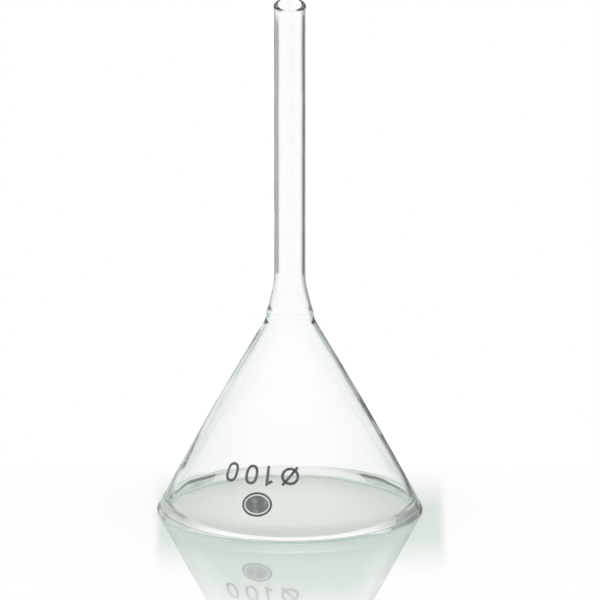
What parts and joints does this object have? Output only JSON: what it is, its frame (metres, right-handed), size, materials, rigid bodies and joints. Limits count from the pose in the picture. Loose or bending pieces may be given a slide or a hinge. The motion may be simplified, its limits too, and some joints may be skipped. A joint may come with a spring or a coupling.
{
  "type": "filter funnel",
  "caption": "Clear glass laboratory funnel: plain cone with a thickened rim, a short flared neck and a long straight stem with a slanted tip. Guides liquid into a vessel or holds folded filter paper.",
  "frame": {"origin": "centre of the mouth, on the flat of the rim that the funnel stands on", "axes": "+Z along the funnel's axis, from the mouth up the stem to its tip; the print and the tip's slant face -Y"},
  "size_m": [0.1, 0.1, 0.1966],
  "materials": {
    "glass": "clear, fire-polished",
    "enamel": "dark fired enamel print"
  },
  "bodies": {
    "root": {"funnel": "glass"}
  },
  "joints": []
}
